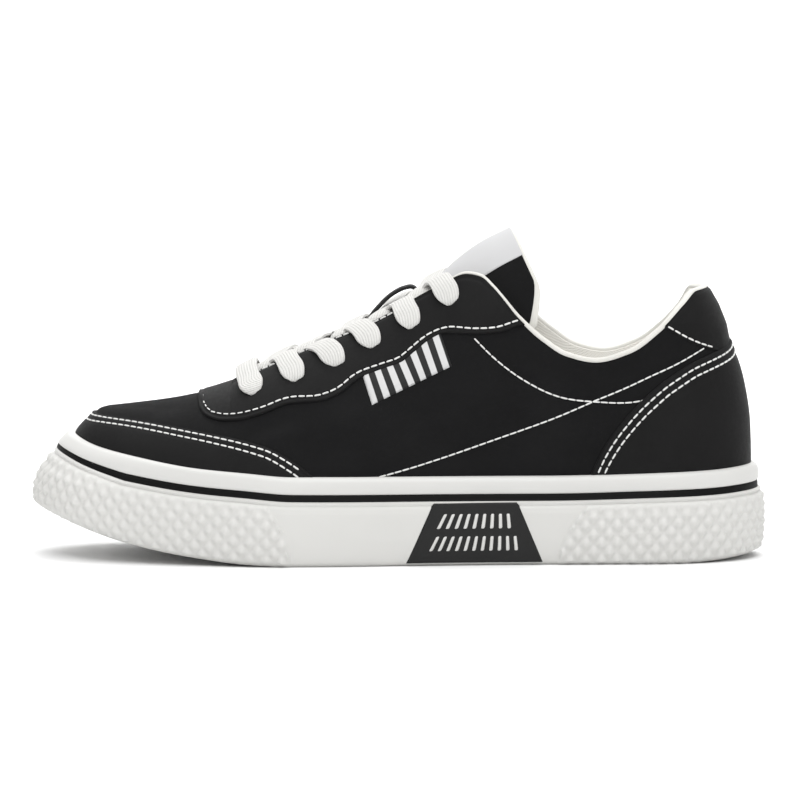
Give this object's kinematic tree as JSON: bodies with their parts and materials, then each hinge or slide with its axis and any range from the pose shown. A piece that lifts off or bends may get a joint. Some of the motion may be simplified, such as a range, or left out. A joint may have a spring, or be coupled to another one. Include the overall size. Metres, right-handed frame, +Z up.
{
  "type": "low-top canvas sneaker",
  "caption": "Black canvas low-top sneaker for the left foot with contrast stitching, flat white laces and a white rubber cupsole with knurled toe and heel.",
  "frame": {"origin": "under the middle of the shoe's box, on the floor that the sole stands on", "axes": "+X from the toe to the heel, +Y to the inner side of the foot (the outer side faces -Y), +Z up"},
  "size_m": [0.2906, 0.1024, 0.1315],
  "materials": {
    "black_canvas": "fine smooth weave, matt",
    "black_overlay": "smooth coated weave, low sheen",
    "white_rubber": "moulded, satin",
    "black_rubber": "moulded, satin",
    "white_lace": "flat ribbed braid",
    "insole_foam": "woven cover on foam",
    "label_weave": "tight satin weave"
  },
  "bodies": {
    "root": {"upper": "black_canvas", "cupsole": "white_rubber", "stripe_band": "black_rubber", "foxing_band": "white_rubber", "sole_patch": "black_rubber", "insole": "insole_foam", "tongue": "black_canvas", "tongue_label": "label_weave", "lace_keeper": "black_overlay", "lace_bar_1": "white_lace", "lace_cross_2": "white_lace", "lace_cross_3": "white_lace", "lace_cross_4": "white_lace", "lace_cross_5": "white_lace", "lace_cross_6": "white_lace", "toe_overlay": "black_overlay", "eyestay": "black_overlay", "heel_counter": "black_overlay", "heel_tab": "black_overlay", "side_tab": "label_weave"}
  },
  "joints": []
}
